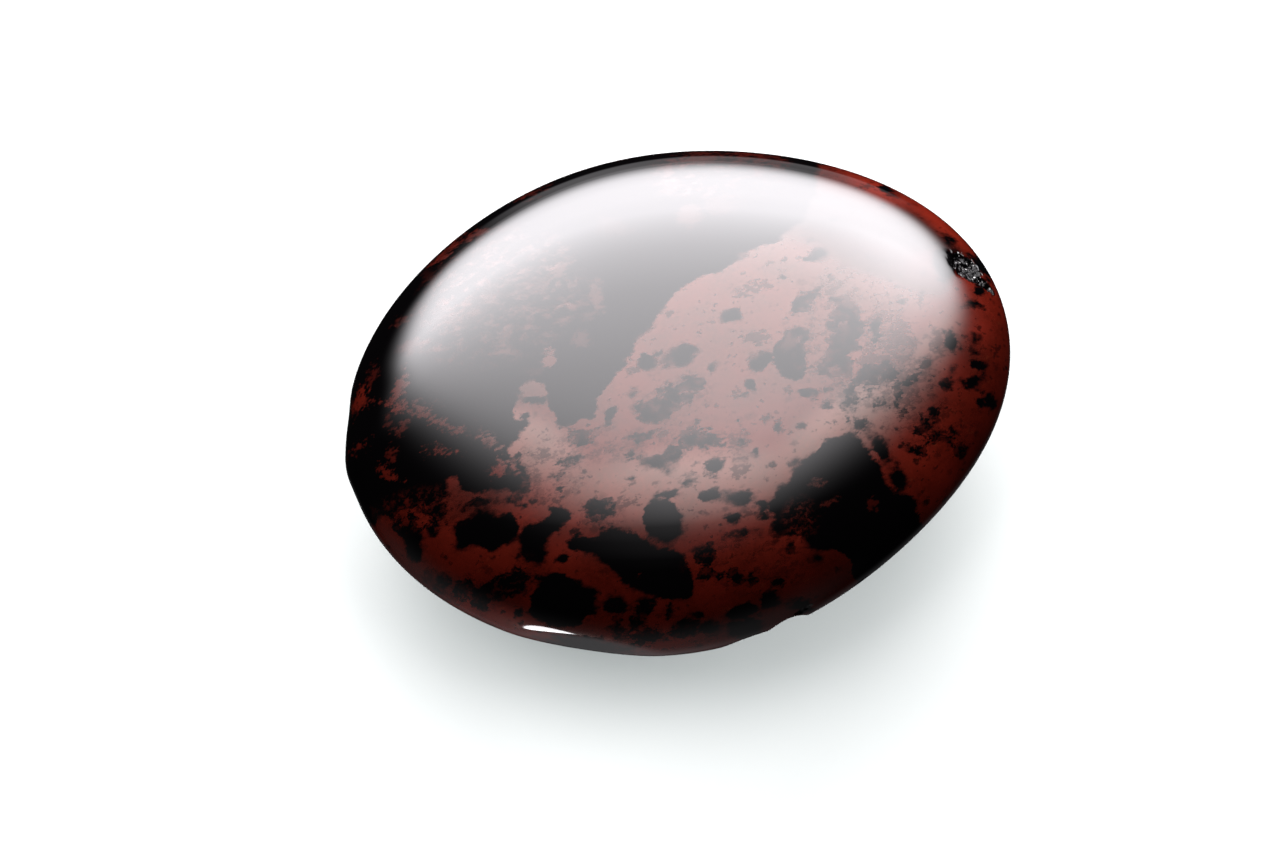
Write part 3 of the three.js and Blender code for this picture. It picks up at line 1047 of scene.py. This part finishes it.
# The room: an even faint light, a pale strip low behind the stone, a faint glow from below, gone
# and full at slopes away from straight down, and another low on the camera's side. A rise is the
# height of a direction, and ahead is 1 straight towards the light.
ROOM_BRIGHTNESS = 0.004
STRIP_BRIGHTNESS = 0.5
STRIP_RISE = ((-0.31, -0.24), (-0.08, -0.02))
STRIP_AHEAD = (0.91, 1.0)
BELOW_BRIGHTNESS = 0.045
BELOW_REACH = (1.1, 0.4)
LEAST_DROP = 0.05
GLOW_BRIGHTNESS = 0.17
GLOW_RISE = (0.45, -0.4)
GLOW_AZIMUTH = -165.0
GLOW_AHEAD = (0.2, 0.95)

# The lamp's direction, its half width and half height in degrees, and its soft edge.
LAMP_AZIMUTH = -155.5
LAMP_ELEVATION = -33.0
LAMP_SPREAD = (5.5, 20.0)
LAMP_EDGE = (1.0, 0.8)
LAMP_BRIGHTNESS = 20.0

# What is seen beyond the floor.
BACKDROP_BRIGHTNESS = 1.2


def dot(tree, sight, towards):
    """How far the direction of sight goes towards another direction."""
    return vector_maths(tree, "DOT_PRODUCT", sight, towards, "Value")


def length(tree, vector):
    return vector_maths(tree, "LENGTH", vector, (0, 0, 0), "Value")


def soft_edge(tree, inside, softness):
    """An edge with long tails: near 0 well outside it, 0.5 on it and near 1 well inside."""
    half = times(tree, inside, 0.5)
    step = maths(tree, "TANH", maths(tree, "DIVIDE", half, softness))
    return times_plus(tree, step, 0.5, 0.5)


def brightness_up(tree, height):
    """The softbox's brightness at a slope up its middle line."""
    bottom, top = SOFTBOX_BRIGHTNESS[0][0], SOFTBOX_BRIGHTNESS[-1][0]
    brightest = max(level for _, level in SOFTBOX_BRIGHTNESS)
    climb = add_node(tree, "MapRange", {"Value": height, "From Min": bottom, "From Max": top})
    ramp = add_node(tree, "ValToRGB", {"Fac": climb.outputs["Result"]})
    stops = ramp.color_ramp.elements
    while len(stops) < len(SOFTBOX_BRIGHTNESS):
        stops.new(0.5)
    for stop, (slope, level) in zip(stops, SOFTBOX_BRIGHTNESS):
        stop.position = (slope - bottom) / (top - bottom)
        stop.color = (level / brightest,) * 3 + (1,)
    return times(tree, ramp.outputs["Color"], brightest)


def softbox_gain(tree, x, y, narrow):
    """How much brighter the softbox is to the right and at its bright spot."""
    gain = times_plus(tree, x, between(tree, narrow, SOFTBOX_RIGHT_GAINS), 1.0)
    spot_x, spot_y, reach, brighter = SOFTBOX_SPOT
    off = add_node(tree, "CombineXYZ", {"X": minus(tree, x, spot_x), "Y": minus(tree, y, spot_y)})
    near = blend_range(tree, length(tree, off.outputs["Vector"]), reach, 0.0)
    return times_plus(tree, near, brighter, gain)


def softbox_shape(tree, x, y, narrow):
    """1 on the softbox and 0 beside it, with soft sides and a soft cut at the corner."""
    away = maths(tree, "ABSOLUTE", minus(tree, x, between(tree, narrow, SOFTBOX_SHIFTS)))
    inside = minus(tree, between(tree, narrow, SOFTBOX_HALF_WIDTHS), away)
    side = soft_edge(tree, inside, between(tree, narrow, SOFTBOX_SOFTNESS))
    height, slope, softness = SOFTBOX_CUT
    above = times_plus(tree, x, -slope, minus(tree, y, height))
    return times(tree, side, soft_edge(tree, above, softness))


def softbox(tree, sight):
    """Brightness of the softbox in the direction of sight."""
    ahead = dot(tree, sight, direction(0, SOFTBOX_ELEVATION))
    front = blend_range(tree, ahead, *SOFTBOX_FRONT)
    ahead = maths(tree, "MAXIMUM", ahead, SOFTBOX_FRONT[0])
    x = maths(tree, "DIVIDE", dot(tree, sight, direction(90, 0)), ahead)
    y = maths(tree, "DIVIDE", dot(tree, sight, direction(0, SOFTBOX_ELEVATION + 90)), ahead)
    narrow = blend_range(tree, y, *SOFTBOX_NARROWS)
    curved = times_plus(tree, times(tree, x, x), -SOFTBOX_CURVE, y)
    level = times(tree, brightness_up(tree, curved), softbox_gain(tree, x, y, narrow))
    shape = times(tree, softbox_shape(tree, x, y, narrow), front)
    return times(tree, level, shape)


def room(tree, sight):
    """Brightness of the strip, the glows and the room in the direction of sight."""
    rise = dot(tree, sight, (0, 0, 1))
    level = vector_maths(tree, "MULTIPLY", sight, (1, 1, 0))
    across = length(tree, level)
    level = vector_maths(tree, "NORMALIZE", level, (0, 0, 0))

    lower, upper = (blend_range(tree, rise, *edge) for edge in STRIP_RISE)
    strip = minus(tree, lower, upper)
    ahead = blend_range(tree, dot(tree, level, direction(0, 0)), *STRIP_AHEAD)
    strip = times(tree, strip, ahead)

    glow = blend_range(tree, rise, *GLOW_RISE)
    ahead = blend_range(tree, dot(tree, level, direction(GLOW_AZIMUTH, 0)), *GLOW_AHEAD)
    glow = times(tree, glow, ahead)

    drop = maths(tree, "MAXIMUM", times(tree, rise, -1), LEAST_DROP)
    below = blend_range(tree, maths(tree, "DIVIDE", across, drop), *BELOW_REACH)
    below = times(tree, below, maths(tree, "LESS_THAN", rise, 0))

    light = times_plus(tree, glow, GLOW_BRIGHTNESS, ROOM_BRIGHTNESS)
    light = times_plus(tree, below, BELOW_BRIGHTNESS, light)
    return times_plus(tree, strip, STRIP_BRIGHTNESS, light)


def lamp(tree, sight):
    """Brightness of the lamp, an upright oval, in the direction of sight."""
    sideways = direction(LAMP_AZIMUTH + 90, 0)
    upwards = direction(LAMP_AZIMUTH, LAMP_ELEVATION + 90)
    squares = []
    for axis, spread in zip((sideways, upwards), LAMP_SPREAD):
        share = maths(tree, "DIVIDE", dot(tree, sight, axis), math.sin(radians(spread)))
        squares.append(times(tree, share, share))
    reach = maths(tree, "SQRT", maths(tree, "ADD", *squares))
    ahead = dot(tree, sight, direction(LAMP_AZIMUTH, LAMP_ELEVATION))
    ahead = maths(tree, "GREATER_THAN", ahead, 0)
    inside = times(tree, blend_range(tree, reach, *LAMP_EDGE), ahead)
    return times(tree, inside, LAMP_BRIGHTNESS)


def make_light():
    world = bpy.data.worlds.new("studio")
    bpy.context.scene.world = world
    tree = empty_tree(world)
    sight = add_node(tree, "TexCoord").outputs["Generated"]
    light = maths(tree, "ADD", softbox(tree, sight), room(tree, sight))
    light = maths(tree, "ADD", lamp(tree, sight), light)
    seen = add_node(tree, "LightPath").outputs["Is Camera Ray"]
    inputs = {"Factor": seen, "A": light, "B": BACKDROP_BRIGHTNESS}
    strength = add_node(tree, "Mix", inputs, data_type="FLOAT")
    background = add_node(tree, "Background", {
        "Color": LIGHT_TINT, "Strength": strength.outputs["Result"],
    })
    add_node(tree, "OutputWorld", {"Surface": background.outputs["Background"]})


def set_picture():
    """Plain display colours and a clean picture."""
    scene = bpy.context.scene
    scene.view_settings.view_transform = "Standard"
    scene.view_settings.look = "None"
    scene.cycles.use_denoising = True


noise.seed_set(WANDER_SEED)
make_camera()
make_stone()
make_floor_lights(make_floor())
make_light()
set_picture()
